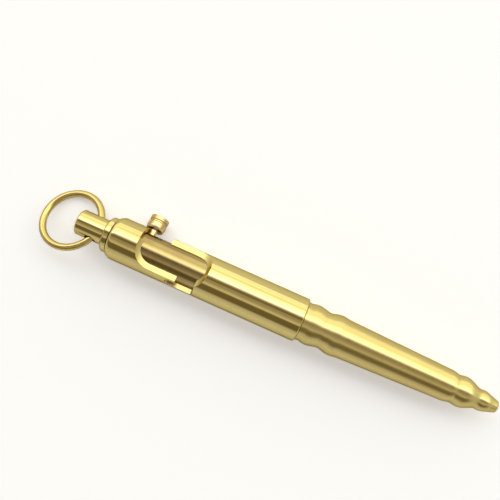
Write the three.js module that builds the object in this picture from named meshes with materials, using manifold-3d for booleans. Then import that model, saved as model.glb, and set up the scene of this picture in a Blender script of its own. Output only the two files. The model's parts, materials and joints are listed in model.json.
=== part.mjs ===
import * as THREE from "three";
import { mergeVertices } from "three/addons/utils/BufferGeometryUtils.js";
import Module from "manifold-3d";

// A solid brass bolt-action ballpoint pen with a key ring at its tail, in millimetres.
// In the pen's own frame the axis is x: x = 0 is the flat tail end and the writing end is at x = PEN_LENGTH.
// The window in the barrel faces +z and the handle of the bolt points to +y, with the point retracted.
// The pen lies on a flat surface, rolled about its axis until it rests on its barrel and its knob.

const wasm = await Module();
wasm.setup();

// Round work, the distance within which corners are welded, and how far cutting tools reach past a surface
const MAIN_SIDES = 36;
const SMALL_SIDES = 24;
const ARC_STEPS = 4;
const WELD = 1e-4;
const CLEAR = 1;

// Barrel
const PEN_LENGTH = 120.1;
const BARREL_START = 10.3;
const BARREL_END = 65.2;
const BARREL_RADIUS = 6;
const BORE_RADIUS = 4.7;
const REAR_BEVEL_DEPTH = 0.6;
const REAR_BEVEL_LENGTH = 1.2;
const FRONT_BEVEL = 0.25;

// Window: a flat milled across the barrel, run out at both ends by the round of the cutter
const WINDOW_START = 18.05;
const WINDOW_END = 38.2;
const WINDOW_FLAT = 2.9;
const CUTTER_RADIUS = 6;

// Slots in the two rails beside the window, where the handle parks
const REAR_SLOT_START = 18;
const REAR_SLOT_END = 25.55;
const REAR_SLOT_FLOOR = -3.6;
const FRONT_SLOT_START = 30.8;
const FRONT_SLOT_END = 36.05;
const FRONT_SLOT_FLOOR = 0.25;
const HOOK_START = 28;
const HOOK_ROOF = 2.4;
const SLOT_CORNER = 0.9;
const RAIL_MIDDLE = 1;

// Tail cap, with the cross hole for the ring
const NECK_RADIUS = 3.55;
const NECK_END = 8.2;
const FLANGE_RADIUS = 4.9;
const GROOVE_START = 10;
const GROOVE_RADIUS = 4.4;
const PLUG_RADIUS = 4.5;
const PLUG_END = 14.6;
const RING_HOLE_X = 4.9;
const RING_HOLE_RADIUS = 1.65;
const EDGE = 0.4;

// Key ring of round wire
const RING_RADIUS = 8.3;
const WIRE_RADIUS = 0.97;
const WIRE_SIDES = 10;
const RING_OFFSET = 7.88;
const RING_DROOP_DEG = 12.7;

// Bolt and its knurled handle screw
const BOLT_START = 15.2;
const BOLT_END = 43;
const BOLT_RADIUS = 4.62;
const SOCKET_START = 25;
const SOCKET_RADIUS = 1.7;
const HANDLE_X = 19.1;
const SHANK_RADIUS = 0.95;
const SHANK_ROOT = 3.2;
const SHANK_HOLE_RADIUS = 1.1;
const SHANK_HOLE_FLOOR = 2.9;
const SKIRT_START = 6.25;
const SKIRT_RADIUS = 2.4;
const KNOB_START = 6.7;
const KNOB_END = 10.4;
const KNOB_RADIUS = 2.65;
const KNOB_GROOVE_RADIUS = 2.25;
const KNOB_GROOVE_START = 8.35;
const KNOB_GROOVE_END = 8.85;
const KNOB_BEVEL = 0.5;

// Nose section
const SPIGOT_START = 59;
const SPIGOT_RADIUS = 4.5;
const SEAL_START = 63.4;
const SEAL_END = 64.6;
const SEAL_FLOOR = 3.75;
const SEAL_WIRE = 0.42;
const SEAL_WIRE_SIDES = 8;
const SEAL_GAP = 0.03;
const NOSE_BORE_RADIUS = 3.4;
const NOSE_BORE_END = 80;
const SPRING_BORE_RADIUS = 2.5;
const SPRING_STEP = 108;
const TUBE_BORE_RADIUS = 1.7;
const TIP_STEP = 116.2;
const TIP_BORE_RADIUS = 1.3;

// The outside of the nose: a groove, a swell, a waist, a swell, the long taper, a bulb, a bead and the tip.
const NOSE_OUTLINE = [
  [BARREL_END, 5.32],
  [65.8, 5.28],
  [66.3, 5.2],
  [66.9, 5.36],
  [67.5, 5.5],
  [68.4, 5.54],
  [69.2, 5.46],
  [70.1, 5.26],
  [71, 5.03],
  [71.8, 4.95],
  [72.6, 5.08],
  [73.6, 5.38],
  [74.4, 5.52],
  [75.2, 5.56],
  [76, 5.45],
  [77.3, 5.28],
  [106.6, 4.28],
  [107.4, 4.12],
  [108.2, 3.9],
  [109, 3.92],
  [109.8, 4.08],
  [110.6, 4.15],
  [111.5, 4],
  [112.5, 3.64],
  [114, 2.96],
  [114.9, 2.7],
  [115.8, 2.77],
  [116.6, 2.7],
  [117.4, 2.48],
  [117.8, 2.3],
  [119.7, 1.72],
  [PEN_LENGTH, 1.5],
];

// Refill
const REFILL_END = 113;
const TUBE_RADIUS = 1.5;
const TUBE_INNER = 1.1;
const TUBE_END = 100.4;
const SHOULDER_START = 82.8;
const SHOULDER_END = 84;
const SHOULDER_RADIUS = 2.15;
const HOLDER_START = 95.4;
const HOLDER_RADIUS = 1.15;
const HOLDER_STEM = 1;
const HOLDER_END = 111.2;
const HOLDER_CONE = 2.4;
const HOLDER_FRONT_RADIUS = 0.8;
const POINT_SEAT = 107;
const POINT_STEM = 0.45;
const POINT_BORE = 0.6;
const POINT_CONE_BACK = 0.72;
const POINT_CONE_FRONT = 0.64;
const BALL_RADIUS = 0.5;
const BALL_SIDES = 12;
const BALL_RINGS = 8;
const BALL_CENTRE = REFILL_END - BALL_RADIUS;
const POCKET_RADIUS = 0.56;
const POCKET_FLOOR = BALL_CENTRE - BALL_RADIUS - 0.1;
const POCKET_LIP = BALL_CENTRE + 0.2;
const INK_START = 35;
const INK_RADIUS = 0.98;

// Return spring
const SPRING_RADIUS = 2;
const SPRING_WIRE = 0.2;
const SPRING_TURNS = 12;
const SPRING_STEPS_PER_TURN = 10;
const SPRING_WIRE_STEPS = 3;
const SPRING_SEAT_GAP = 0.3;

// The pen rolls over its barrel until the bevelled rim of the knob comes down to the surface.
const halfSide = Math.PI / MAIN_SIDES;
const restHeight = BARREL_RADIUS * Math.cos(halfSide);
const rimReach = KNOB_END - KNOB_BEVEL;
const roll = Math.asin(restHeight / Math.hypot(rimReach, KNOB_RADIUS)) - Math.atan(KNOB_RADIUS / rimReach);

const finish = (color, roughness, metalness = 1) => ({ color, roughness, metalness });
const turnedBrass = finish(0xd9bd6c, 0.22);
const satinBrass = finish(0xd2b765, 0.34);
const redBrass = finish(0xd9a968, 0.3);
const wireBrass = finish(0xb79a55, 0.4);
const springSteel = finish(0xb9bcc0, 0.3);
const nickelSilver = finish(0xc9c6b8, 0.25);
const carbide = finish(0x6d6f73, 0.15);
const clearPlastic = finish(0xd8dde0, 0.35, 0);
const blackRubber = finish(0x1b1b1c, 0.8, 0);
const blueInk = finish(0x16235c, 0.4, 0);

// A turned body about x. The profile is [x, radius] pairs with x rising along the outside.
// The first flat side is set so that one flat faces straight down when the pen lies at rest.
function turned(profile, sides = MAIN_SIDES) {
  const points = profile.map(([x, radius]) => new THREE.Vector2(radius, x));
  const start = roll + Math.PI / sides;
  return new THREE.LatheGeometry(points, sides, start, Math.PI * 2).rotateZ(-Math.PI / 2);
}

// The same, about the y axis through x = atX, as for the handle screw.
function turnedAcross(profile, atX, sides = SMALL_SIDES) {
  const points = profile.map(([y, radius]) => new THREE.Vector2(radius, y));
  return new THREE.LatheGeometry(points, sides).translate(atX, 0, 0);
}

// A closed outline in x and z, pushed through the pen from y = from to y = to.
function slab(shape, from, to) {
  const depth = to - from;
  const geometry = new THREE.ExtrudeGeometry(shape, { depth, bevelEnabled: false, curveSegments: ARC_STEPS });
  return geometry.rotateX(Math.PI / 2).translate(0, to, 0);
}

function solidOf(geometry) {
  const bare = geometry.index ? geometry.toNonIndexed() : geometry.clone();
  bare.deleteAttribute("normal");
  bare.deleteAttribute("uv");
  const merged = mergeVertices(bare, WELD);
  const corners = merged.index.array;
  const kept = [];
  for (let i = 0; i < corners.length; i += 3) {
    const [a, b, c] = corners.slice(i, i + 3);
    if (a !== b && b !== c && c !== a) kept.push(a, b, c);
  }
  const vertProperties = merged.attributes.position.array;
  return new wasm.Manifold(new wasm.Mesh({ numProp: 3, vertProperties, triVerts: new Uint32Array(kept) }));
}

function geometryOf(solid) {
  const { vertProperties, triVerts, numProp } = solid.getMesh();
  const places = new Float32Array((vertProperties.length / numProp) * 3);
  for (let i = 0; i < places.length / 3; i += 1) {
    places.set(vertProperties.subarray(i * numProp, i * numProp + 3), i * 3);
  }
  const geometry = new THREE.BufferGeometry();
  geometry.setAttribute("position", new THREE.BufferAttribute(places, 3));
  geometry.setIndex(Array.from(triVerts));
  return geometry;
}

const cut = (body, ...tools) =>
  geometryOf(tools.reduce((left, tool) => left.subtract(solidOf(tool)), solidOf(body)));

function piece(name, geometry, look) {
  const shown = geometry.index ? geometry.toNonIndexed() : geometry;
  shown.computeVertexNormals();
  const mesh = new THREE.Mesh(shown, new THREE.MeshStandardMaterial(look));
  mesh.name = name;
  return mesh;
}

// Side outline of the window cut: a round run-out, the flat, and a round run-out.
function windowOutline() {
  const top = BARREL_RADIUS + CLEAR;
  const centre = WINDOW_FLAT + CUTTER_RADIUS;
  const reach = Math.sqrt(CUTTER_RADIUS ** 2 - (centre - BARREL_RADIUS) ** 2);
  const spread = Math.acos((centre - top) / CUTTER_RADIUS);
  const shape = new THREE.Shape();
  const down = -Math.PI / 2;
  shape.absarc(WINDOW_START + reach, centre, CUTTER_RADIUS, down - spread, down, false);
  shape.absarc(WINDOW_END - reach, centre, CUTTER_RADIUS, down, down + spread, false);
  return shape;
}

// A slot outline open at the top, with rounded lower corners. left is where its lower part starts,
// and roof is the height of the hook's upper side.
function slotOutline(start, end, floor, left = start, roof = floor) {
  const top = BARREL_RADIUS + CLEAR;
  const r = SLOT_CORNER;
  const shape = new THREE.Shape();
  shape.moveTo(end, top);
  shape.lineTo(start, top);
  if (left < start) {
    shape.lineTo(start, roof);
    shape.lineTo(left + r, roof);
    shape.absarc(left + r, roof - r, r, Math.PI / 2, Math.PI, false);
  }
  shape.absarc(left + r, floor + r, r, Math.PI, Math.PI * 1.5, false);
  shape.absarc(end - r, floor + r, r, Math.PI * 1.5, Math.PI * 2, false);
  return shape;
}

function barrel() {
  const body = turned([
    [BARREL_START, BORE_RADIUS],
    [BARREL_START, BARREL_RADIUS - REAR_BEVEL_DEPTH],
    [BARREL_START + REAR_BEVEL_LENGTH, BARREL_RADIUS],
    [BARREL_END - FRONT_BEVEL, BARREL_RADIUS],
    [BARREL_END, BARREL_RADIUS - FRONT_BEVEL],
    [BARREL_END, BORE_RADIUS],
    [BARREL_START, BORE_RADIUS],
  ]);
  const wide = BARREL_RADIUS + CLEAR;
  const rear = slab(slotOutline(REAR_SLOT_START, REAR_SLOT_END, REAR_SLOT_FLOOR), RAIL_MIDDLE, wide);
  const frontOutline = slotOutline(FRONT_SLOT_START, FRONT_SLOT_END, FRONT_SLOT_FLOOR, HOOK_START, HOOK_ROOF);
  const front = slab(frontOutline, -wide, -RAIL_MIDDLE);
  return cut(body, slab(windowOutline(), -wide, wide), rear, front);
}

function tailCap() {
  const body = turned([
    [0, 0],
    [0, NECK_RADIUS - EDGE],
    [EDGE, NECK_RADIUS],
    [NECK_END, NECK_RADIUS],
    [NECK_END, FLANGE_RADIUS - EDGE],
    [NECK_END + EDGE, FLANGE_RADIUS],
    [GROOVE_START - EDGE, FLANGE_RADIUS],
    [GROOVE_START, FLANGE_RADIUS - EDGE / 2],
    [GROOVE_START, GROOVE_RADIUS],
    [BARREL_START, GROOVE_RADIUS],
    [BARREL_START, PLUG_RADIUS],
    [PLUG_END - EDGE, PLUG_RADIUS],
    [PLUG_END, PLUG_RADIUS - EDGE],
    [PLUG_END, 0],
  ]);
  const reach = NECK_RADIUS + CLEAR;
  const hole = [[-reach, 0], [-reach, RING_HOLE_RADIUS], [reach, RING_HOLE_RADIUS], [reach, 0]];
  return cut(body, turnedAcross(hole, RING_HOLE_X));
}

// A ring of round wire about x, as a closed lathe profile.
function hoop(middle, radius, wire, sides, around) {
  const profile = [];
  for (let i = 0; i <= sides; i += 1) {
    const angle = (-2 * Math.PI * (i % sides)) / sides;
    profile.push([middle + wire * Math.cos(angle), radius + wire * Math.sin(angle)]);
  }
  return turned(profile, around);
}

// The ring lies flat in x and y behind the hinge, which is the middle of the cross hole.
function keyRing() {
  const ring = hoop(0, RING_RADIUS, WIRE_RADIUS, WIRE_SIDES, MAIN_SIDES);
  const mesh = piece("key_ring", ring.rotateY(Math.PI / 2).translate(-RING_OFFSET, 0, 0), wireBrass);
  const hinge = new THREE.Group();
  hinge.position.set(RING_HOLE_X, 0, 0);
  hinge.rotation.y = -THREE.MathUtils.degToRad(RING_DROOP_DEG);
  hinge.add(mesh);
  return hinge;
}

function bolt() {
  const body = turned([
    [BOLT_START, 0],
    [BOLT_START, BOLT_RADIUS - EDGE],
    [BOLT_START + EDGE, BOLT_RADIUS],
    [BOLT_END - EDGE, BOLT_RADIUS],
    [BOLT_END, BOLT_RADIUS - EDGE],
    [BOLT_END, SOCKET_RADIUS],
    [SOCKET_START, SOCKET_RADIUS],
    [SOCKET_START, 0],
  ]);
  const reach = BOLT_RADIUS + CLEAR;
  const hole = [
    [SHANK_HOLE_FLOOR, 0],
    [SHANK_HOLE_FLOOR, SHANK_HOLE_RADIUS],
    [reach, SHANK_HOLE_RADIUS],
    [reach, 0],
  ];
  return cut(body, turnedAcross(hole, HANDLE_X));
}

function handleScrew() {
  const flank = (KNOB_RADIUS - KNOB_GROOVE_RADIUS) / 2;
  return turnedAcross(
    [
      [SHANK_ROOT, 0],
      [SHANK_ROOT, SHANK_RADIUS],
      [SKIRT_START, SHANK_RADIUS],
      [SKIRT_START, SKIRT_RADIUS],
      [KNOB_START, KNOB_RADIUS - flank],
      [KNOB_START + flank, KNOB_RADIUS],
      [KNOB_GROOVE_START - flank, KNOB_RADIUS],
      [KNOB_GROOVE_START, KNOB_GROOVE_RADIUS],
      [KNOB_GROOVE_END, KNOB_GROOVE_RADIUS],
      [KNOB_GROOVE_END + flank, KNOB_RADIUS],
      [KNOB_END - KNOB_BEVEL, KNOB_RADIUS],
      [KNOB_END, KNOB_RADIUS - KNOB_BEVEL],
      [KNOB_END, 0],
    ],
    HANDLE_X,
  );
}

function noseSection() {
  return turned([
    [SPIGOT_START, NOSE_BORE_RADIUS],
    [SPIGOT_START, SPIGOT_RADIUS - EDGE],
    [SPIGOT_START + EDGE, SPIGOT_RADIUS],
    [SEAL_START, SPIGOT_RADIUS],
    [SEAL_START, SEAL_FLOOR],
    [SEAL_END, SEAL_FLOOR],
    [SEAL_END, SPIGOT_RADIUS],
    [BARREL_END, SPIGOT_RADIUS],
    ...NOSE_OUTLINE,
    [PEN_LENGTH, TIP_BORE_RADIUS],
    [TIP_STEP, TIP_BORE_RADIUS],
    [TIP_STEP, TUBE_BORE_RADIUS],
    [SPRING_STEP, TUBE_BORE_RADIUS],
    [SPRING_STEP, SPRING_BORE_RADIUS],
    [NOSE_BORE_END, SPRING_BORE_RADIUS],
    [NOSE_BORE_END, NOSE_BORE_RADIUS],
    [SPIGOT_START, NOSE_BORE_RADIUS],
  ]);
}

function refillTube() {
  return turned(
    [
      [SOCKET_START, TUBE_INNER],
      [SOCKET_START, TUBE_RADIUS],
      [SHOULDER_START, TUBE_RADIUS],
      [SHOULDER_START, SHOULDER_RADIUS],
      [SHOULDER_END, SHOULDER_RADIUS],
      [SHOULDER_END, TUBE_RADIUS],
      [TUBE_END, TUBE_RADIUS],
      [TUBE_END, TUBE_INNER],
      [SOCKET_START, TUBE_INNER],
    ],
    SMALL_SIDES,
  );
}

function refillPointHolder() {
  return turned(
    [
      [HOLDER_START, 0],
      [HOLDER_START, HOLDER_STEM],
      [TUBE_END, HOLDER_STEM],
      [TUBE_END, HOLDER_RADIUS],
      [HOLDER_END - HOLDER_CONE, HOLDER_RADIUS],
      [HOLDER_END, HOLDER_FRONT_RADIUS],
      [HOLDER_END, POINT_BORE],
      [POINT_SEAT, POINT_BORE],
      [POINT_SEAT, 0],
    ],
    SMALL_SIDES,
  );
}

function refillPoint() {
  return turned(
    [
      [POINT_SEAT, 0],
      [POINT_SEAT, POINT_STEM],
      [HOLDER_END, POINT_STEM],
      [HOLDER_END, POINT_CONE_BACK],
      [POCKET_LIP, POINT_CONE_FRONT],
      [POCKET_LIP, POCKET_RADIUS],
      [POCKET_FLOOR, POCKET_RADIUS],
      [POCKET_FLOOR, 0],
    ],
    SMALL_SIDES,
  );
}

function writingBall() {
  const ball = new THREE.SphereGeometry(BALL_RADIUS, BALL_SIDES, BALL_RINGS);
  return ball.rotateZ(Math.PI / 2).translate(BALL_CENTRE, 0, 0);
}

function inkColumn() {
  const profile = [[INK_START, 0], [INK_START, INK_RADIUS], [HOLDER_START, INK_RADIUS], [HOLDER_START, 0]];
  return turned(profile, SMALL_SIDES);
}

class Helix extends THREE.Curve {
  getPoint(t, target = new THREE.Vector3()) {
    const start = SHOULDER_END + SPRING_WIRE + SPRING_SEAT_GAP;
    const end = SPRING_STEP - SPRING_WIRE - SPRING_SEAT_GAP;
    const angle = t * SPRING_TURNS * 2 * Math.PI;
    const y = SPRING_RADIUS * Math.cos(angle);
    return target.set(start + (end - start) * t, y, SPRING_RADIUS * Math.sin(angle));
  }
}

function returnSpring() {
  const wire = new THREE.Shape();
  wire.absarc(0, 0, SPRING_WIRE, 0, Math.PI * 2);
  return new THREE.ExtrudeGeometry(wire, {
    steps: SPRING_TURNS * SPRING_STEPS_PER_TURN,
    curveSegments: SPRING_WIRE_STEPS,
    extrudePath: new Helix(),
    bevelEnabled: false,
  });
}

function noseSeal() {
  const middle = (SEAL_START + SEAL_END) / 2;
  return hoop(middle, SEAL_FLOOR + SEAL_WIRE + SEAL_GAP, SEAL_WIRE, SEAL_WIRE_SIDES, MAIN_SIDES);
}

const pen = new THREE.Group();
pen.rotation.x = -roll;
pen.add(
  piece("barrel", barrel(), turnedBrass),
  piece("tail_cap", tailCap(), turnedBrass),
  piece("nose_section", noseSection(), satinBrass),
  piece("nose_seal", noseSeal(), blackRubber),
  keyRing(),
  piece("bolt", bolt(), turnedBrass),
  piece("handle_screw", handleScrew(), redBrass),
  piece("refill_tube", refillTube(), clearPlastic),
  piece("refill_point_holder", refillPointHolder(), turnedBrass),
  piece("refill_point", refillPoint(), nickelSilver),
  piece("writing_ball", writingBall(), carbide),
  piece("ink_column", inkColumn(), blueInk),
  piece("return_spring", returnSpring(), springSteel),
);

// The origin is under the middle of the whole pen, on the surface that it lies on.
const group = new THREE.Group();
group.add(pen);
group.updateMatrixWorld(true);
const bounds = new THREE.Box3().setFromObject(group, true);
const middle = bounds.getCenter(new THREE.Vector3());
pen.position.set(-middle.x, -middle.y, -bounds.min.z);

export default group;
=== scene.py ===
import json
from math import acos, cos, degrees, pi, radians, sin, sqrt

import bmesh
import bpy
from mathutils import Matrix, Vector


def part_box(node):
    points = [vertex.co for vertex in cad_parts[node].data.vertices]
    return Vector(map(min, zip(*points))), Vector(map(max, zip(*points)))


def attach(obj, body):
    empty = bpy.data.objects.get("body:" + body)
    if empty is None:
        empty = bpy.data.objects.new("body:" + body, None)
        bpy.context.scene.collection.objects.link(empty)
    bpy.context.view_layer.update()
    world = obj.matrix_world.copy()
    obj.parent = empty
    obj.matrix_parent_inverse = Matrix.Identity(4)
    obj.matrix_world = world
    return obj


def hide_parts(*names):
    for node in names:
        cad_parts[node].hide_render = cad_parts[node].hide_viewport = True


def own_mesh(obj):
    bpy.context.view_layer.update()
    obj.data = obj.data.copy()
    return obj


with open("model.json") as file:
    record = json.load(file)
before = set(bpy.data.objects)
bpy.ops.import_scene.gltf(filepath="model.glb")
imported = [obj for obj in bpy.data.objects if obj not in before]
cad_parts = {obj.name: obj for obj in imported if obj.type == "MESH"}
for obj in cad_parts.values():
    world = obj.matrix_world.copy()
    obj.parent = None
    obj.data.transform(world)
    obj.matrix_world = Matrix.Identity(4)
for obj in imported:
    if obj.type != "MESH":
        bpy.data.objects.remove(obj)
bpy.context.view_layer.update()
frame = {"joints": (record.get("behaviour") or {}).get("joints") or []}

# The pen's own frame: x along the pen from the flat tail end, y towards the handle at rest, z out of the
# window. Every piece is drawn in it in millimetres, then carried to the row frame by finished().
MM = 0.001
joints = {joint["name"]: joint for joint in frame["joints"]}
axis_y, axis_z = joints["bolt_turn"]["pos_m"][1:]
tail_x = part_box("tail_cap")[0].x
along = Vector((1, 0, 0))
handle_way = Vector(joints["ring_swing"]["axis"]).normalized()
window_way = along.cross(handle_way)
pen_axes = Matrix((along, handle_way, window_way)).transposed().to_4x4()
PEN = Matrix.Translation((tail_x, axis_y, axis_z)) @ pen_axes
TO_ROW = PEN @ Matrix.Scale(MM, 4)
ring_swing_at = (Vector(joints["ring_swing"]["pos_m"]).x - tail_x) / MM


def span(name):
    """Where a CAD node starts and ends along the pen, in millimetres from the tail end."""
    low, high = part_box(name)
    return (low.x - tail_x) / MM, (high.x - tail_x) / MM


barrel_start, barrel_end = span("barrel")
nose_start, pen_length = span("nose_section")
bolt_start, bolt_end = span("bolt")
refill_start, tube_end = span("refill_tube")
refill_end = span("writing_ball")[1]
plug_end = span("tail_cap")[1]

# Sizes that several pieces share, in millimetres.
BARREL_RADIUS = 6.0
BORE_RADIUS = 4.7
PLUG_RADIUS = 4.5    # the tail cap's plug and the nose's spigot, both inside the bore
BEVEL = 0.4          # the usual lead-in on a turned end
CLEAR = 1            # how far a cutting tool stands past what it cuts

ROUND = 160                   # sides of a round piece
EASE = 0.12                   # radius of a broken edge, in millimetres
TRUE_CORNER = radians(30)     # a bend sharper than this is an edge, and is broken
SHARP_EDGE = radians(34)      # faces that meet sharper than this aren't shaded as one


# ---------------------------------------------------------------- mesh work

def finished(name, mesh, *materials):
    """A plain mesh object in the row frame, smooth except at real edges, normals weighted by face size."""
    mesh.transform(TO_ROW)
    mesh.shade_smooth()
    mesh.set_sharp_from_angle(angle=SHARP_EDGE)
    chosen = [face.material_index for face in mesh.polygons]
    mesh.materials.clear()
    for material in materials:
        mesh.materials.append(material)
    mesh.polygons.foreach_set("material_index", chosen)
    obj = bpy.data.objects.new(name, mesh)
    bpy.context.scene.collection.objects.link(obj)
    weighted = obj.modifiers.new("normals", "WEIGHTED_NORMAL")
    weighted.keep_sharp = True
    return applied(obj)


def applied(obj):
    """The object with its modifiers made into a plain mesh."""
    bpy.context.view_layer.update()
    graph = bpy.context.evaluated_depsgraph_get()
    mesh = bpy.data.meshes.new_from_object(obj.evaluated_get(graph), preserve_all_data_layers=True,
                                           depsgraph=graph)
    obj.modifiers.clear()
    obj.data = mesh
    mesh.name = obj.name
    return obj


def eased(profile, radius=EASE, steps=3):
    """The profile with each true corner turned by a small arc, so that edges catch the light."""
    closed = profile[0] == profile[-1]
    points = [Vector(p) for p in (profile[:-1] if closed else profile)]
    count = len(points)
    result = []
    for i, here in enumerate(points):
        ends = not closed and i in (0, count - 1)
        before, after = points[i - 1], points[(i + 1) % count]
        back, ahead = before - here, after - here
        bend = 0 if ends else pi - back.angle(ahead)
        if ends or bend < TRUE_CORNER:
            result.append(here)
            continue
        # Less than half of each side, so that two arcs never meet.
        reach = min(radius, back.length * 0.45, ahead.length * 0.45)
        a, b = here + back.normalized() * reach, here + ahead.normalized() * reach
        for k in range(steps + 1):
            t = k / steps
            result.append(a * (1 - t) ** 2 + here * 2 * t * (1 - t) + b * t ** 2)
    return [tuple(p) for p in result] + ([tuple(result[0])] if closed else [])


def revolved(profile, sides=ROUND, turn=None):
    """A closed body turned about x. The profile is (x, radius) pairs, axis to axis or closed on itself."""
    closed = profile[0] == profile[-1]
    points = profile[:-1] if closed else profile
    shape = bmesh.new()
    rings = []
    for x, radius in points:
        if radius < 1e-6:
            rings.append([shape.verts.new((x, 0, 0))])
            continue
        angles = [2 * pi * k / sides for k in range(sides)]
        rings.append([shape.verts.new((x, radius * cos(a), radius * sin(a))) for a in angles])
    pairs = list(zip(rings, rings[1:])) + ([(rings[-1], rings[0])] if closed else [])
    for low, high in pairs:
        for k in range(sides):
            n = (k + 1) % sides
            corners = [low[k % len(low)], low[n % len(low)], high[n % len(high)], high[k % len(high)]]
            face = list(dict.fromkeys(corners))
            if len(face) > 2:
                shape.faces.new(face)
    if turn:
        shape.transform(turn)
    return as_mesh(shape)


def as_mesh(shape):
    """The bmesh as mesh data, its faces turned outwards."""
    bmesh.ops.recalc_face_normals(shape, faces=shape.faces)
    mesh = bpy.data.meshes.new("made")
    shape.to_mesh(mesh)
    shape.free()
    return mesh


def slab(outline, low, high):
    """A closed (x, z) outline pushed from y = low to y = high."""
    shape = bmesh.new()
    near = [shape.verts.new((x, low, z)) for x, z in outline]
    far = [shape.verts.new((x, high, z)) for x, z in outline]
    shape.faces.new(near)
    shape.faces.new(list(reversed(far)))
    for k in range(len(outline)):
        n = (k + 1) % len(outline)
        shape.faces.new([near[n], near[k], far[k], far[n]])
    return as_mesh(shape)


def cut(mesh, *tools):
    """The mesh less the tools, by exact booleans."""
    scene = bpy.context.scene.collection
    body = bpy.data.objects.new("cut_body", mesh)
    scene.objects.link(body)
    helpers = []
    for tool in tools:
        helper = bpy.data.objects.new("cut_tool", tool)
        scene.objects.link(helper)
        helpers.append(helper)
        step = body.modifiers.new("cut", "BOOLEAN")
        step.operation = "DIFFERENCE"
        step.solver = "EXACT"
        step.object = helper
    result = applied(body).data
    for helper in [body, *helpers]:
        bpy.data.objects.remove(helper)
    return result


def arc(centre, radius, start, end, steps):
    """Points on an arc, from start to end in degrees, both included."""
    cx, cz = centre
    angles = [radians(start + (end - start) * k / steps) for k in range(steps + 1)]
    return [(cx + radius * cos(a), cz + radius * sin(a)) for a in angles]


def smooth_run(points, steps=6):
    """A Catmull-Rom curve through (x, radius) points."""
    result = []
    last = len(points) - 1
    for i in range(last):
        p0, p1 = Vector(points[max(i - 1, 0)]), Vector(points[i])
        p2, p3 = Vector(points[i + 1]), Vector(points[min(i + 2, last)])
        for k in range(steps):
            t = k / steps
            place = 2 * p1 + (p2 - p0) * t + (2 * p0 - 5 * p1 + 4 * p2 - p3) * t * t
            place += (3 * p1 - p0 - 3 * p2 + p3) * t ** 3
            result.append(tuple(place / 2))
    return result + [tuple(points[-1])]


# ---------------------------------------------------------------- materials

def linear(hex_colour):
    """sRGB hex to the linear colour that the shader takes."""
    channels = [int(hex_colour[i:i + 2], 16) / 255 for i in (1, 3, 5)]
    return (*[c / 12.92 if c <= 0.04045 else ((c + 0.055) / 1.055) ** 2.4 for c in channels], 1)


def node(tree, kind, settings=(), **inputs):
    """Adds a node. settings are its properties; inputs are values, or sockets to link, by input name."""
    made = tree.nodes.new(kind)
    for key, value in dict(settings).items():
        setattr(made, key, value)
    for key, value in inputs.items():
        socket = made.inputs[int(key[1:]) if key[1:].isdigit() else key.replace("_", " ")]
        if isinstance(value, bpy.types.NodeSocket):
            tree.links.new(value, socket)
        else:
            socket.default_value = value
    return made


def ramp(tree, factor, stops):
    """A colour ramp's output. Each stop is its place and a colour, or a number for a grey."""
    made = node(tree, "ShaderNodeValToRGB", Fac=factor)
    band = made.color_ramp
    band.interpolation = "LINEAR"
    while len(band.elements) < len(stops):
        band.elements.new(0.5)
    for element, (place, colour) in zip(band.elements, stops):
        element.position = place
        element.color = colour if isinstance(colour, tuple) else (colour, colour, colour, 1)
    return made.outputs["Color"]


def shader(name, **constants):
    """A new material, with what is the same all over it set on the shader's own sockets."""
    material = bpy.data.materials.new(name)
    material.use_nodes = True
    tree = material.node_tree
    surface = tree.nodes["Principled BSDF"]
    for key, value in constants.items():
        surface.inputs[key.replace("_", " ")].default_value = value
    return material, tree, surface


PATCH_MM = 14            # how wide a patch of tarnish is
HANDLED_MM = 1.1         # how wide a spot dulled by the fingers is
ROUND_THE_PEN = 6.0      # tool marks hardly change round the pen: this many times in a metre
EDGE_SHADE_TINT = "#c2b9a6"      # painted shade: the rim seen almost edge on is darkened, standing for the shadowed paper it mirrors
GROOVE_SHADE = "#5a4520"         # painted shade: brown darkening in a groove, where shade falls
GROOVE_SHADE_COVER = 0.75        # how much of the metal it hides in the middle of the groove
GROOVE_SHADE_MIDDLE = 0.4        # the share of the groove's half width that it fills evenly


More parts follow.
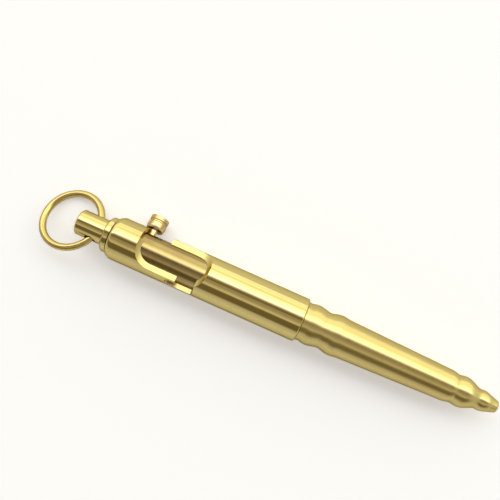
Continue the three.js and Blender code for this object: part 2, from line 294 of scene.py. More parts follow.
def turned_metal(name, clean, tarnished, gloss, line_mm, line_depth_mm, stain=0.35, groove_shade=()):
    """Metal off a lathe: fine rings round the pen, patches of faint tarnish, and painted shade darkening the
    grooves.

    gloss is the least and the most roughness. Each groove shade is a groove's place and half its width, in
    mm.
    """
    # The edge tint is painted shade: it darkens the rim where the metal is seen almost edge on.
    material, tree, surface = shader(name, Metallic=1.0, Specular_Tint=linear(EDGE_SHADE_TINT))
    where = node(tree, "ShaderNodeTexCoord").outputs["Object"]
    # Tool marks change along x only, so that they run round the pen.
    marks = node(tree, "ShaderNodeMapping", Vector=where,
                 Scale=(1 / (line_mm * MM), ROUND_THE_PEN, ROUND_THE_PEN))
    lines = node(tree, "ShaderNodeTexNoise", Vector=marks.outputs[0], Scale=1.0, Detail=3.0, Roughness=0.6)
    patches = node(tree, "ShaderNodeTexNoise", Vector=where, Scale=1 / (PATCH_MM * MM), Detail=5.0,
                   Roughness=0.62)
    fine = node(tree, "ShaderNodeTexNoise", Vector=where, Scale=1 / (HANDLED_MM * MM), Detail=4.0,
                Roughness=0.7)
    dirty = ramp(tree, patches.outputs["Fac"], [(0.45, 0.0), (0.75, stain)])
    colour = node(tree, "ShaderNodeMix", {"data_type": "RGBA"}, Factor=dirty)
    colour.inputs["A"].default_value = linear(clean)
    colour.inputs["B"].default_value = linear(tarnished)
    shown = colour.outputs["Result"]
    # Painted shade: the colour darkens towards brown in each groove listed.
    if groove_shade:
        x = node(tree, "ShaderNodeSeparateXYZ", Vector=where).outputs["X"]
        for centre, half in groove_shade:
            offset = node(tree, "ShaderNodeMath", {"operation": "SUBTRACT"}, _0=x,
                          _1=tail_x + centre * MM)
            away = node(tree, "ShaderNodeMath", {"operation": "ABSOLUTE"}, _0=offset.outputs[0])
            near = node(tree, "ShaderNodeMapRange", Value=away.outputs[0],
                        From_Min=half * MM * GROOVE_SHADE_MIDDLE, From_Max=half * MM, To_Min=GROOVE_SHADE_COVER, To_Max=0.0)
            darker = node(tree, "ShaderNodeMix", {"data_type": "RGBA"}, Factor=near.outputs[0])
            tree.links.new(shown, darker.inputs["A"])
            darker.inputs["B"].default_value = linear(GROOVE_SHADE)
            shown = darker.outputs["Result"]
    tree.links.new(shown, surface.inputs["Base Color"])
    low, high = gloss
    handled = ramp(tree, fine.outputs["Fac"], [(0.3, low), (0.7, high)])
    tree.links.new(handled, surface.inputs["Roughness"])
    bump = node(tree, "ShaderNodeBump", Height=lines.outputs["Fac"], Strength=1.0,
                Distance=line_depth_mm * MM)
    tree.links.new(bump.outputs[0], surface.inputs["Normal"])
    return material


# Free-cutting brass, fine turned and buffed: pale lemon yellow, with sharp reflections a little drawn out
# along the pen, and painted brown shade in the groove behind the barrel.
polished_brass = turned_metal("brass_turned_polished", "#efdc90", "#dcc374", gloss=(0.085, 0.13),
                              line_mm=0.30, line_depth_mm=0.0006, groove_shade=((barrel_start - 0.15, 0.3),))
# The window's flat and the notches, cut across by an end mill: satin, with marks straight across the pen.
milled_brass = turned_metal("brass_milled_satin", "#e6d28c", "#cdb56e", gloss=(0.3, 0.38), line_mm=0.22,
                            line_depth_mm=0.0012, stain=0.3)
# The same bar left as it came off the finishing tool: satin, with reflections smeared round the rings, and
# painted shade at its joint with the barrel.
satin_brass = turned_metal("brass_turned_satin", "#ecd88c", "#d6bd72", gloss=(0.22, 0.26), line_mm=0.34,
                           line_depth_mm=0.0009, stain=0.3, groove_shade=((barrel_end, 0.2),))
# Copper-rich brass of a bought-in thumb screw, a little pinker, with soft shine.
screw_brass = turned_metal("brass_knurled_screw", "#ecd6a0", "#c9a468", gloss=(0.16, 0.24), line_mm=0.2,
                           line_depth_mm=0.001)
# The bolt's bar stock, rubbed dull by the bore: a darker, rosier tarnish than the barrel's.
bolt_brass = turned_metal("brass_bolt_rubbed", "#c4ad72", "#9c8352", gloss=(0.15, 0.22), line_mm=0.26,
                          line_depth_mm=0.0008, stain=0.6)
# Drawn brass wire, tumbled: satin yellow with brown left in patches.
wire_brass = turned_metal("brass_drawn_wire", "#e2cb80", "#b99c56", gloss=(0.2, 0.3), line_mm=0.9,
                          line_depth_mm=0.0015, stain=0.45)
# Turned brass of the refill's adaptor: bright, as it came off the lathe.
refill_brass = turned_metal("brass_refill_point", "#e8cf86", "#c9a860", gloss=(0.12, 0.2), line_mm=0.2,
                            line_depth_mm=0.0008)
# Turned nickel silver: whiter than brass, bright.
nickel_silver = turned_metal("nickel_silver_turned", "#d8d4c6", "#b0aa98", gloss=(0.12, 0.2), line_mm=0.15,
                             line_depth_mm=0.0006)
# Sintered tungsten carbide ball, lapped: dark grey and bright.
carbide = turned_metal("tungsten_carbide_lapped", "#7c7f84", "#5f6267", gloss=(0.05, 0.1), line_mm=0.2,
                       line_depth_mm=0.0001)
# Spring wire, drawn and nickel plated: cool grey, fairly bright.
spring_steel = turned_metal("steel_spring_wire", "#c4c7cb", "#8f9196", gloss=(0.18, 0.28), line_mm=0.3,
                            line_depth_mm=0.0008)


def extruded_plastic():
    """Milky polypropylene tube of a refill: translucent, faint lines along its length."""
    material, tree, surface = shader("polypropylene_extruded", IOR=1.49, Transmission_Weight=0.55)
    where = node(tree, "ShaderNodeTexCoord").outputs["Object"]
    # Die lines 0.4 mm apart, each about 17 mm long.
    grain = node(tree, "ShaderNodeMapping", Vector=where, Scale=(60, 2500, 2500))
    lines = node(tree, "ShaderNodeTexNoise", Vector=grain.outputs[0], Scale=1.0, Detail=2.0)
    tint = ramp(tree, lines.outputs["Fac"], [(0.3, linear("#e3e6e4")), (0.7, linear("#cfd4d4"))])
    tree.links.new(tint, surface.inputs["Base Color"])
    rough = ramp(tree, lines.outputs["Fac"], [(0.3, 0.3), (0.7, 0.45)])
    tree.links.new(rough, surface.inputs["Roughness"])
    return material


GRAIN_DEPTH = 0.02 * MM


def soft_solid(name, dark, light, gloss, grain_mm):
    """A dull non-metal with a fine grain: moulded rubber, or ink paste."""
    low, high = gloss
    material, tree, surface = shader(name, IOR=1.5)
    where = node(tree, "ShaderNodeTexCoord").outputs["Object"]
    grain = node(tree, "ShaderNodeTexNoise", Vector=where, Scale=1 / (grain_mm * MM), Detail=4.0)
    tint = ramp(tree, grain.outputs["Fac"], [(0.3, linear(dark)), (0.7, linear(light))])
    tree.links.new(tint, surface.inputs["Base Color"])
    rough = ramp(tree, grain.outputs["Fac"], [(0.3, low), (0.7, high)])
    tree.links.new(rough, surface.inputs["Roughness"])
    bump = node(tree, "ShaderNodeBump", Height=grain.outputs["Fac"], Strength=0.4, Distance=GRAIN_DEPTH)
    tree.links.new(bump.outputs[0], surface.inputs["Normal"])
    return material


tube_plastic = extruded_plastic()
# Moulded nitrile rubber: near black and dull.
seal_rubber = soft_solid("nitrile_rubber_moulded", "#131313", "#242424", gloss=(0.6, 0.85), grain_mm=0.3)
# Ink paste: deep blue, half wet.
ink_paste = soft_solid("ink_paste_blue", "#0e1740", "#1b2a6b", gloss=(0.3, 0.5), grain_mm=2.0)


# ---------------------------------------------------------------- camera, light and floor

# Degrees from straight up, + to the handle's side, and the light that comes from there.
SKY = (
    (-180, (0.5, 0.48, 0.47)), (-92, (0.63, 0.62, 0.66)), (-66, (0.48, 0.46, 0.46)),
    (-58, (0.15, 0.12, 0.07)), (-50, (0.155, 0.12, 0.065)), (-31, (0.16, 0.125, 0.07)),
    (-27, (0.42, 0.4, 0.38)), (-24, (0.75, 0.72, 0.66)), (-20, (0.5, 0.46, 0.42)),
    (-15, (0.52, 0.48, 0.42)), (-10.5, (0.35, 0.31, 0.27)), (0, (0.35, 0.31, 0.26)),
    (6, (0.15, 0.12, 0.07)), (13, (0.19, 0.16, 0.14)), (18, (0.42, 0.4, 0.45)),
    (24, (1.45, 1.45, 1.75)), (30, (2.6, 2.65, 2.6)), (45, (1.8, 1.78, 1.5)),
    (52, (1.45, 1.42, 1.25)), (58, (1.06, 1.06, 0.9)), (63, (1.02, 1.04, 0.9)),
    (69, (1.4, 1.38, 1.15)), (80, (1.14, 1.12, 0.98)), (88, (1.4, 1.36, 1.2)),
    (100, (0.9, 0.88, 0.84)), (180, (0.5, 0.48, 0.47)),
)
ROOM_END = (0.55, 0.53, 0.5, 1)     # the even grey towards the pen's two ends
ROOM_END_FROM, ROOM_END_FULL = 0.72, 0.97
BACKDROP = (0.9, 0.9, 0.9, 1)
PAPER = (0.88, 0.88, 0.88, 1)
PAPER_LIFT = 0.34
FLOOR_REACH = 1.5                   # half the floor's side, in metres


def sky(scene):
    """Light that changes round the pen's axis, as from a long bright window on the handle's side."""
    world = bpy.data.worlds.new("soft_room")
    scene.world = world
    world.use_nodes = True
    tree = world.node_tree
    tree.nodes.clear()
    way = node(tree, "ShaderNodeTexCoord").outputs["Generated"]
    parts = node(tree, "ShaderNodeSeparateXYZ", Vector=way)
    angle = node(tree, "ShaderNodeMath", {"operation": "ARCTAN2"}, _0=parts.outputs["Y"],
                 _1=parts.outputs["Z"])
    place = node(tree, "ShaderNodeMapRange", Value=angle.outputs[0], From_Min=-pi, From_Max=pi)
    stops = [((degree + 180) / 360, (*colour, 1)) for degree, colour in SKY]
    around = ramp(tree, place.outputs[0], stops)
    # Towards the two ends of the pen the room is an even grey.
    end_on = node(tree, "ShaderNodeMath", {"operation": "ABSOLUTE"}, _0=parts.outputs["X"])
    ends = node(tree, "ShaderNodeMapRange", Value=end_on.outputs[0], From_Min=ROOM_END_FROM,
                From_Max=ROOM_END_FULL)
    mixed = node(tree, "ShaderNodeMix", {"data_type": "RGBA"}, Factor=ends.outputs[0])
    tree.links.new(around, mixed.inputs["A"])
    mixed.inputs["B"].default_value = ROOM_END
    room = node(tree, "ShaderNodeBackground", Color=mixed.outputs["Result"], Strength=1.0)
    plain = node(tree, "ShaderNodeBackground", Color=BACKDROP, Strength=1.0)
    seen = node(tree, "ShaderNodeLightPath").outputs["Is Camera Ray"]
    both = node(tree, "ShaderNodeMixShader", _0=seen, _1=room.outputs[0], _2=plain.outputs[0])
    node(tree, "ShaderNodeOutputWorld", Surface=both.outputs[0])


def paper_floor(scene):
    """Plain white paper under the pen."""
    shape = bmesh.new()
    # The smooth barrel reaches a little lower than the faceted one that the frame rests on.
    under_barrel = Matrix.Translation((0, 0, axis_z - BARREL_RADIUS * MM))
    bmesh.ops.create_grid(shape, x_segments=1, y_segments=1, size=FLOOR_REACH, matrix=under_barrel)
    floor_mesh = bpy.data.meshes.new("floor")
    shape.to_mesh(floor_mesh)
    shape.free()
    floor = bpy.data.objects.new("floor", floor_mesh)
    scene.collection.objects.link(floor)
    material, tree, surface = shader("floor_paper", Roughness=0.6)
    surface.inputs["Base Color"].default_value = PAPER
    surface.inputs["Emission Color"].default_value = (1, 1, 1, 1)
    # The paper's lift towards white is for the eye only, so that the metal mirrors the paper as it is lit.
    paper_seen = node(tree, "ShaderNodeLightPath").outputs["Is Camera Ray"]
    lift = node(tree, "ShaderNodeMath", {"operation": "MULTIPLY"}, _0=paper_seen, _1=PAPER_LIFT)
    tree.links.new(lift.outputs[0], surface.inputs["Emission Strength"])
    floor_mesh.materials.append(material)


def studio():
    scene = bpy.context.scene
    scene.view_settings.view_transform = "Standard"
    sky(scene)
    paper_floor(scene)


CAMERA_TILT = radians(2.8)            # towards the tail
CAMERA_ROLL = radians(23.83)          # the pen lies this far from level in the picture
CAMERA_MM = (52.3, 11.5, 144.75)      # from the tail end, on the pen's axis
LENS_MM = 39.17
SENSOR_MM = 36


def camera():
    """Almost straight above the pen, a little towards the handle's side and tipped towards the tail."""
    ahead, beside, above = CAMERA_MM
    place = Vector((tail_x + ahead * MM, axis_y + beside * MM, axis_z + above * MM))
    level = Vector((cos(CAMERA_TILT), 0, -sin(CAMERA_TILT)))
    side = Vector((0, 1, 0))
    right = level * cos(CAMERA_ROLL) + side * sin(CAMERA_ROLL)
    up = side * cos(CAMERA_ROLL) - level * sin(CAMERA_ROLL)
    back = right.cross(up)
    data = bpy.data.cameras.new("camera")
    data.lens = LENS_MM
    data.sensor_width = SENSOR_MM
    data.clip_start = 0.005
    data.clip_end = 10
    obj = bpy.data.objects.new("camera", data)
    obj.matrix_world = Matrix.Translation(place) @ Matrix((right, up, back)).transposed().to_4x4()
    bpy.context.scene.collection.objects.link(obj)
    bpy.context.scene.camera = obj


camera()
studio()


# ---------------------------------------------------------------- barrel

WINDOW = (18.05, 38.2)        # where the flat starts and ends along the pen
WINDOW_FLAT = 2.9             # its height over the pen's axis
CUTTER_RADIUS = 6.0
REAR_SLOT = (18.0, 25.55)     # the notch that the handle parks in
REAR_SLOT_FLOOR = -3.6
FRONT_SLOT = (30.8, 36.05)    # the notch that locks the point out
FRONT_SLOT_FLOOR = 0.25
HOOK_START, HOOK_ROOF = 28.0, 2.4
SLOT_CORNER = 0.9
INNER_SIDE = 1                # a slot is milled from outside to this far beside the pen's axis
REAR_BEVEL_LONG, REAR_BEVEL_DEEP = 1.2, 0.6
FRONT_BEVEL = 0.25
ON_WALL = 0.02                # how near the outside or the bore a point counts as on it
WINDOW_MARGIN = 0.5
ARC_STEPS, CORNER_STEPS = 16, 6


def window_tool():
    """The flat milled across the barrel, with the cutter's round at both ends."""
    start, end = WINDOW
    centre = WINDOW_FLAT + CUTTER_RADIUS
    top = BARREL_RADIUS + CLEAR
    reach = sqrt(CUTTER_RADIUS ** 2 - (centre - BARREL_RADIUS) ** 2)
    spread = degrees(acos((centre - top) / CUTTER_RADIUS))
    left = arc((start + reach, centre), CUTTER_RADIUS, -90 - spread, -90, ARC_STEPS)
    right = arc((end - reach, centre), CUTTER_RADIUS, -90, -90 + spread, ARC_STEPS)
    return slab(left + right, -BARREL_RADIUS - CLEAR, BARREL_RADIUS + CLEAR)


def slot_tool(slot, floor, low, high, hook=None):
    """A slot milled down into one rail, open at the top, with round corners and an optional hook."""
    start, end = slot
    top = BARREL_RADIUS + CLEAR
    corner = SLOT_CORNER
    left = start if hook is None else hook
    outline = [(end, top), (start, top)]
    if hook is not None:
        outline += [(start, HOOK_ROOF)]
        outline += arc((left + corner, HOOK_ROOF - corner), corner, 90, 180, CORNER_STEPS)
    outline += arc((left + corner, floor + corner), corner, 180, 270, CORNER_STEPS)
    outline += arc((end - corner, floor + corner), corner, 270, 360, CORNER_STEPS)
    return slab(outline, low, high)


def mark_milled(mesh):
    """Gives the second material to each face of the window that is neither on the outside nor in the bore."""
    start, end = WINDOW
    for face in mesh.polygons:
        reach = [sqrt(mesh.vertices[v].co.y ** 2 + mesh.vertices[v].co.z ** 2) for v in face.vertices]
        outside = all(abs(r - BARREL_RADIUS) < ON_WALL for r in reach)
        inside = all(abs(r - BORE_RADIUS) < ON_WALL for r in reach)
        in_window = start - WINDOW_MARGIN < face.center.x < end + WINDOW_MARGIN
        face.material_index = int(in_window and not outside and not inside)


def barrel():
    """The tube, with the window's flat across it and a notch in each of the two rails beside the window."""
    wall = [(barrel_start, BORE_RADIUS), (barrel_start, BARREL_RADIUS - REAR_BEVEL_DEEP),
            (barrel_start + REAR_BEVEL_LONG, BARREL_RADIUS), (barrel_end - FRONT_BEVEL, BARREL_RADIUS),
            (barrel_end, BARREL_RADIUS - FRONT_BEVEL), (barrel_end, BORE_RADIUS), (barrel_start, BORE_RADIUS)]
    rear = slot_tool(REAR_SLOT, REAR_SLOT_FLOOR, INNER_SIDE, BARREL_RADIUS + CLEAR)
    front = slot_tool(FRONT_SLOT, FRONT_SLOT_FLOOR, -BARREL_RADIUS - CLEAR, -INNER_SIDE, hook=HOOK_START)
    mesh = cut(revolved(eased(wall)), window_tool(), rear, front)
    mark_milled(mesh)
    piece = finished("barrel_shell", mesh, polished_brass, milled_brass)
    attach(piece, "body")
    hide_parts("barrel")


# ---------------------------------------------------------------- tail cap and key ring

NECK_RADIUS = 3.55
NECK_END = 8.2                # where the flange starts
FLANGE_RADIUS = 4.9
GROOVE_WIDTH, GROOVE_RADIUS = 0.3, 4.4
CROSS_HOLE_RADIUS = 1.65
DRILL_REACH = 5
DRILL_SIDES = 64


def tail_cap():
    """The neck with its cross hole, the flange, the groove at the barrel, and the plug in the bore."""
    groove = barrel_start - GROOVE_WIDTH
    outline = [(0, 0), (0, NECK_RADIUS - BEVEL), (BEVEL, NECK_RADIUS), (NECK_END, NECK_RADIUS),
               (NECK_END, FLANGE_RADIUS - BEVEL), (NECK_END + BEVEL, FLANGE_RADIUS),
               (groove - BEVEL, FLANGE_RADIUS), (groove, FLANGE_RADIUS - BEVEL / 2),
               (groove, GROOVE_RADIUS), (barrel_start, GROOVE_RADIUS),
               (barrel_start, PLUG_RADIUS), (plug_end - BEVEL, PLUG_RADIUS), (plug_end, PLUG_RADIUS - BEVEL),
               (plug_end, 0)]
    across = Matrix.Translation((ring_swing_at, 0, 0)) @ Matrix.Rotation(pi / 2, 4, "Z")
    drill = [(-DRILL_REACH, 0), (-DRILL_REACH, CROSS_HOLE_RADIUS), (DRILL_REACH, CROSS_HOLE_RADIUS),
             (DRILL_REACH, 0)]
    hole = revolved(drill, DRILL_SIDES, across)
    piece = finished("tail_cap_turned", cut(revolved(eased(outline)), hole), polished_brass)
    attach(piece, "body")
    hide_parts("tail_cap")


RING_RADIUS = 8.3             # to the middle of the wire
WIRE_RADIUS = 0.97
WIRE_SIDES, RING_SIDES = 28, 180
RING_OFFSET = 7.88            # from the cross hole back to the ring's middle
RING_DROOP = radians(12.7)


def key_ring():
    """Round wire closed into a ring, hung through the cross hole and lying back on the surface."""
    angles = [2 * pi * k / WIRE_SIDES for k in range(WIRE_SIDES)]
    wire = [(WIRE_RADIUS * cos(a), RING_RADIUS + WIRE_RADIUS * sin(a)) for a in angles]
    upright = Matrix.Rotation(pi / 2, 4, "Y")
    hang = Matrix.Translation((ring_swing_at, 0, 0)) @ Matrix.Rotation(-RING_DROOP, 4, "Y")
    back = Matrix.Translation((-RING_OFFSET, 0, 0))
    mesh = revolved(wire + wire[:1], RING_SIDES, hang @ back @ upright)
    piece = finished("key_ring_wire", mesh, wire_brass)
    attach(piece, "ring")
    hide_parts("key_ring")


# ---------------------------------------------------------------- bolt and handle screw

HANDLE_X = 19.1               # where the handle stands along the pen
BOLT_RADIUS = 4.62
SOCKET_RADIUS = 1.7           # the socket in the bolt's face that the refill sits in
SHANK_HOLE_START, SHANK_HOLE_END, SHANK_HOLE_RADIUS = 2.9, 6, 1.1
SHANK_HOLE_SIDES = 48
ACROSS_HANDLE = Matrix.Translation((HANDLE_X, 0, 0)) @ Matrix.Rotation(pi / 2, 4, "Z")


def bolt():
    """The slug seen in the window, with the handle's hole in its side."""
    outline = [(bolt_start, 0), (bolt_start, BOLT_RADIUS - BEVEL), (bolt_start + BEVEL, BOLT_RADIUS),
               (bolt_end - BEVEL, BOLT_RADIUS), (bolt_end, BOLT_RADIUS - BEVEL), (bolt_end, SOCKET_RADIUS),
               (refill_start, SOCKET_RADIUS), (refill_start, 0)]
    drill = [(SHANK_HOLE_START, 0), (SHANK_HOLE_START, SHANK_HOLE_RADIUS),
             (SHANK_HOLE_END, SHANK_HOLE_RADIUS), (SHANK_HOLE_END, 0)]
    hole = revolved(drill, SHANK_HOLE_SIDES, ACROSS_HANDLE)
    piece = finished("bolt_turned", cut(revolved(eased(outline)), hole), bolt_brass)
    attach(piece, "bolt")
    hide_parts("bolt")


def tree_for(name, sizes):
    """A Geometry Nodes tree with a mesh input and named sizes."""
    tree = bpy.data.node_groups.new(name, "GeometryNodeTree")
    tree.interface.new_socket("Geometry", in_out="INPUT", socket_type="NodeSocketGeometry")
    for key, value in sizes.items():
        kind = "NodeSocketInt" if isinstance(value, int) else "NodeSocketFloat"
        socket = tree.interface.new_socket(key, in_out="INPUT", socket_type=kind)
        socket.default_value = value
    tree.interface.new_socket("Geometry", in_out="OUTPUT", socket_type="NodeSocketGeometry")
    return tree, node(tree, "NodeGroupInput"), node(tree, "NodeGroupOutput")


def grow(name, mesh, tree, sizes):
    """The mesh with the tree run on it, as a plain mesh."""
    obj = bpy.data.objects.new(name, mesh)
    bpy.context.scene.collection.objects.link(obj)
    step = obj.modifiers.new("grow", "NODES")
    step.node_group = tree
    for item in tree.interface.items_tree:
        if item.item_type == "SOCKET" and item.in_out == "INPUT" and item.name in sizes:
            step[item.identifier] = sizes[item.name]
    made = applied(obj).data
    bpy.data.objects.remove(obj)
    return made


def knurl_tree(sizes):
    """Straight ribs round the x axis, each a small three-sided bar lying along x, in two bands."""
    tree, given, out = tree_for("knurl_ribs", sizes)
    size = given.outputs
    rib = node(tree, "GeometryNodeMeshCylinder", Vertices=3, Radius=size["Rib Radius"],
               Depth=size["Band Length"])
    joined = node(tree, "GeometryNodeJoinGeometry")
    tree.links.new(size["Geometry"], joined.inputs[0])
    for band in ("First Band", "Second Band"):
        wheel = node(tree, "GeometryNodeMeshCircle", Vertices=size["Count"], Radius=size["Radius"])
        spin = node(tree, "GeometryNodeInputIndex")
        step = node(tree, "ShaderNodeMath", {"operation": "DIVIDE"}, _0=2 * pi, _1=size["Count"])
        turn = node(tree, "ShaderNodeMath", {"operation": "MULTIPLY"}, _0=spin.outputs[0],
                    _1=step.outputs[0])
        about = node(tree, "ShaderNodeCombineXYZ", Z=turn.outputs[0])
        upright = node(tree, "GeometryNodeTransform", Geometry=rib.outputs["Mesh"],
                       Rotation=(0, 0, pi / 3))
        ribs = node(tree, "GeometryNodeInstanceOnPoints", Points=wheel.outputs["Mesh"],
                    Instance=upright.outputs["Geometry"], Rotation=about.outputs[0])
        shift = node(tree, "ShaderNodeCombineXYZ", X=size[band])
        tipped = node(tree, "GeometryNodeTransform", Geometry=ribs.outputs["Instances"],
                      Translation=shift.outputs[0], Rotation=(0, pi / 2, 0))
        tree.links.new(tipped.outputs["Geometry"], joined.inputs[0])
    real = node(tree, "GeometryNodeRealizeInstances", Geometry=joined.outputs[0])
    dressed = node(tree, "GeometryNodeSetMaterial", Geometry=real.outputs[0], Material=screw_brass)
    tree.links.new(dressed.outputs[0], out.inputs[0])
    return tree


# The handle's heights are from the pen's axis.
SHANK_START, SHANK_RADIUS = 3.2, 0.95
SKIRT_START, SKIRT_RADIUS = 6.25, 2.38
KNOB_START, KNOB_RADIUS = 6.7, 2.5
# The groove between the two knurled bands, then the top.
WAIST = ((8.2, KNOB_RADIUS), (8.4, 2.2), (8.8, 2.2), (9.0, KNOB_RADIUS))
DOME = ((10.0, KNOB_RADIUS - 0.12), (10.22, KNOB_RADIUS - 0.5), (10.35, KNOB_RADIUS - 1.2), (10.4, 0))
KNOB_SIDES = 96
# Straight ribs 0.36 mm apart.
KNURLS = {"Count": 44, "Radius": KNOB_RADIUS, "Rib Radius": 0.14, "Band Length": 1.05, "First Band": 7.65,
          "Second Band": 9.45}


def handle_screw():
    """The thumb screw of the bolt: a plain shank and a domed head with two knurled bands."""
    outline = [(SHANK_START, 0), (SHANK_START, SHANK_RADIUS), (SKIRT_START, SHANK_RADIUS),
               (SKIRT_START, SKIRT_RADIUS), (KNOB_START, KNOB_RADIUS - 0.06), (KNOB_START + 0.2, KNOB_RADIUS),
               *WAIST, *DOME]
    mesh = grow("knurling", revolved(eased(outline), KNOB_SIDES), knurl_tree(KNURLS), KNURLS)
    mesh.transform(ACROSS_HANDLE)
    piece = finished("handle_screw_knurled", mesh, screw_brass)
    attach(piece, "bolt")
    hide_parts("handle_screw")


# ---------------------------------------------------------------- nose section and its seal

# The outside, as (x, radius) pairs: a groove at the barrel, then two swells with a waist between them. The
# long taper runs straight from the last of them to the bulb.
SWELLS = ((65.35, 5.3), (65.8, 5.27), (66.3, 5.2), (66.9, 5.36), (67.5, 5.5), (68.4, 5.54), (69.2, 5.46),
          (70.1, 5.26), (71, 5.03), (71.8, 4.95), (72.6, 5.08), (73.6, 5.38), (74.4, 5.52), (75.2, 5.56),
          (76, 5.45), (77.3, 5.28))
# The bulb, the bead and the start of the tip's cone.
BULB = ((106.6, 4.28), (107.4, 4.12), (108.2, 3.9), (109, 3.92), (109.8, 4.08), (110.6, 4.15), (111.5, 4),
        (112.5, 3.64), (114, 2.96), (114.9, 2.7), (115.8, 2.77), (116.6, 2.7), (117.4, 2.48), (117.8, 2.3))
TIP = ((119.5, 1.78), (119.9, 1.64), (pen_length, 1.48))
SPIGOT_BORE, SPRING_BORE, GUIDE_BORE, TIP_BORE = 3.4, 2.5, 1.7, 1.3
SPRING_BORE_START, NOSE_STEP, TIP_BORE_START = 80, 108, 116.2
SEAL_GROOVE = (63.4, 64.6)
SEAL_GROOVE_RADIUS = 3.75
SHOULDER_RADIUS = 5.25
SEAL_X, SEAL_RADIUS, SEAL_WIRE = 64, 4.2, 0.42
SEAL_WIRE_SIDES, SEAL_SIDES = 16, 96


def nose_section():
    """The tapered front with its spigot and bores, and the rubber ring in the spigot's groove."""
    outside = smooth_run(SWELLS) + smooth_run(BULB) + list(TIP)
    groove_start, groove_end = SEAL_GROOVE
    spigot = [(nose_start, SPIGOT_BORE), (nose_start, PLUG_RADIUS - BEVEL), (nose_start + BEVEL, PLUG_RADIUS),
              (groove_start, PLUG_RADIUS), (groove_start, SEAL_GROOVE_RADIUS),
              (groove_end, SEAL_GROOVE_RADIUS), (groove_end, PLUG_RADIUS), (barrel_end, PLUG_RADIUS),
              (barrel_end, SHOULDER_RADIUS)]
    bores = [(pen_length, TIP_BORE), (TIP_BORE_START, TIP_BORE), (TIP_BORE_START, GUIDE_BORE),
             (NOSE_STEP, GUIDE_BORE), (NOSE_STEP, SPRING_BORE), (SPRING_BORE_START, SPRING_BORE),
             (SPRING_BORE_START, SPIGOT_BORE), (nose_start, SPIGOT_BORE)]
    piece = finished("nose_section_turned", revolved(spigot + outside + bores), satin_brass)
    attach(piece, "body")
    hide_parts("nose_section")
    angles = [2 * pi * k / SEAL_WIRE_SIDES for k in range(SEAL_WIRE_SIDES)]
    section = [(SEAL_X - SEAL_WIRE * cos(a), SEAL_RADIUS + SEAL_WIRE * sin(a)) for a in angles]
    seal = finished("nose_seal_ring", revolved(section + section[:1], SEAL_SIDES), seal_rubber)
    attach(seal, "body")
    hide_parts("nose_seal")


# ---------------------------------------------------------------- refill and return spring

TUBE_BORE, TUBE_RADIUS = 1.1, 1.5
# The shoulder that the return spring pushes on.
SHOULDER_START, SHOULDER_END, REFILL_SHOULDER = 82.8, 84, 2.15
HOLDER_START, HOLDER_BODY_END, HOLDER_END = 95.4, 108.8, 111.2
HOLDER_STEM, HOLDER_RADIUS, HOLDER_NOSE = 1, 1.15, 0.8
# The hole in the adaptor that takes the point.
POCKET_START, POCKET_RADIUS = 107, 0.6
POINT_STEM, POINT_RADIUS, POINT_LIP, POINT_BORE = 0.45, 0.72, 0.6, 0.56
BALL_RADIUS, BALL_STEPS = 0.5, 16
# How far the point reaches past the ball's middle, and how far behind it its bore is solid again.
POINT_FRONT, POINT_BACK = 0.2, 0.6
INK_START, INK_RADIUS = 35, 0.98
REFILL_SIDES, REFILL_EASE = 64, 0.05


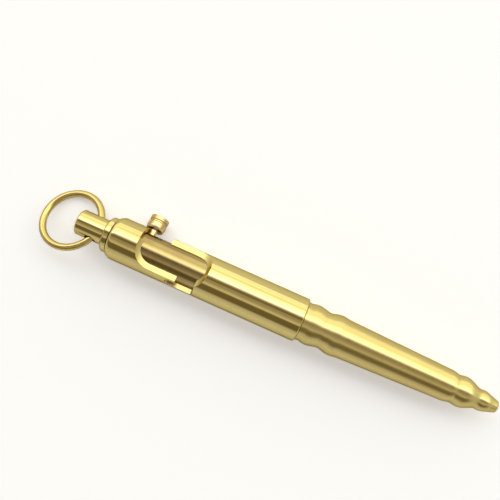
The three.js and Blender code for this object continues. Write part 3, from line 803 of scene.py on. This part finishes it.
def refill():
    """The refill: tube, adaptor, point, ball and ink, all on one body."""
    ball = refill_end - BALL_RADIUS
    ball_angles = [pi * k / BALL_STEPS for k in range(BALL_STEPS + 1)]
    parts = [
        ("refill_tube_extruded", "refill_tube", tube_plastic, "refill_plastic",
         [(refill_start, TUBE_BORE), (refill_start, TUBE_RADIUS), (SHOULDER_START, TUBE_RADIUS),
          (SHOULDER_START, REFILL_SHOULDER), (SHOULDER_END, REFILL_SHOULDER), (SHOULDER_END, TUBE_RADIUS),
          (tube_end, TUBE_RADIUS), (tube_end, TUBE_BORE), (refill_start, TUBE_BORE)]),
        ("refill_point_holder_turned", "refill_point_holder", refill_brass, "refill_brass",
         [(HOLDER_START, 0), (HOLDER_START, HOLDER_STEM), (tube_end, HOLDER_STEM), (tube_end, HOLDER_RADIUS),
          (HOLDER_BODY_END, HOLDER_RADIUS), (HOLDER_END, HOLDER_NOSE), (HOLDER_END, POCKET_RADIUS),
          (POCKET_START, POCKET_RADIUS), (POCKET_START, 0)]),
        ("refill_point_turned", "refill_point", nickel_silver, "point_metal",
         [(POCKET_START, 0), (POCKET_START, POINT_STEM), (HOLDER_END, POINT_STEM), (HOLDER_END, POINT_RADIUS),
          (ball + POINT_FRONT, POINT_LIP), (ball + POINT_FRONT, POINT_BORE), (ball - POINT_BACK, POINT_BORE),
          (ball - POINT_BACK, 0)]),
        ("writing_ball_lapped", "writing_ball", carbide, "ball_metal",
         [(ball - BALL_RADIUS * cos(a), BALL_RADIUS * sin(a)) for a in ball_angles]),
        ("ink_column_paste", "ink_column", ink_paste, "ink",
         [(INK_START, 0), (INK_START, INK_RADIUS), (HOLDER_START, INK_RADIUS), (HOLDER_START, 0)]),
    ]
    for name, stands_for, material, slot, outline in parts:
        shape = outline if slot == "ball_metal" else eased(outline, REFILL_EASE)
        piece = finished(name, revolved(shape, REFILL_SIDES), material)
        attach(piece, "refill")
        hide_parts(stands_for)


# The wire's middle runs from the refill's shoulder to the step inside the nose.
SPRING_START, SPRING_END = 84.25, 107.75
SPRING_WIRE_SIDES = 10
COIL = {"Steps": 24, "Turns": 12.0, "Coil Radius": 2.0, "Wire Radius": 0.2,
        "Length": SPRING_END - SPRING_START}


def coil_tree(sizes):
    """A round wire wound along z, starting at z = 0."""
    tree, given, out = tree_for("return_coil", sizes)
    size = given.outputs
    path = node(tree, "GeometryNodeCurveSpiral", Resolution=size["Steps"], Rotations=size["Turns"],
                Start_Radius=size["Coil Radius"], End_Radius=size["Coil Radius"], Height=size["Length"])
    wire = node(tree, "GeometryNodeCurvePrimitiveCircle", Resolution=SPRING_WIRE_SIDES,
                Radius=size["Wire Radius"])
    swept = node(tree, "GeometryNodeCurveToMesh", Curve=path.outputs[0], Profile_Curve=wire.outputs[0],
                 Fill_Caps=True)
    real = node(tree, "GeometryNodeRealizeInstances", Geometry=swept.outputs[0])
    dressed = node(tree, "GeometryNodeSetMaterial", Geometry=real.outputs[0], Material=spring_steel)
    tree.links.new(dressed.outputs[0], out.inputs[0])
    return tree


def return_spring():
    """The coil round the refill, reaching from the refill's shoulder to the step in the nose."""
    mesh = grow("coil", bpy.data.meshes.new("seed"), coil_tree(COIL), COIL)
    mesh.transform(Matrix.Translation((SPRING_START, 0, 0)) @ Matrix.Rotation(pi / 2, 4, "Y"))
    piece = finished("return_spring_coil", mesh, spring_steel)
    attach(piece, "body")
    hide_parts("return_spring")
    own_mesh(piece)


barrel()
tail_cap()
key_ring()
bolt()
handle_screw()
nose_section()
refill()
return_spring()
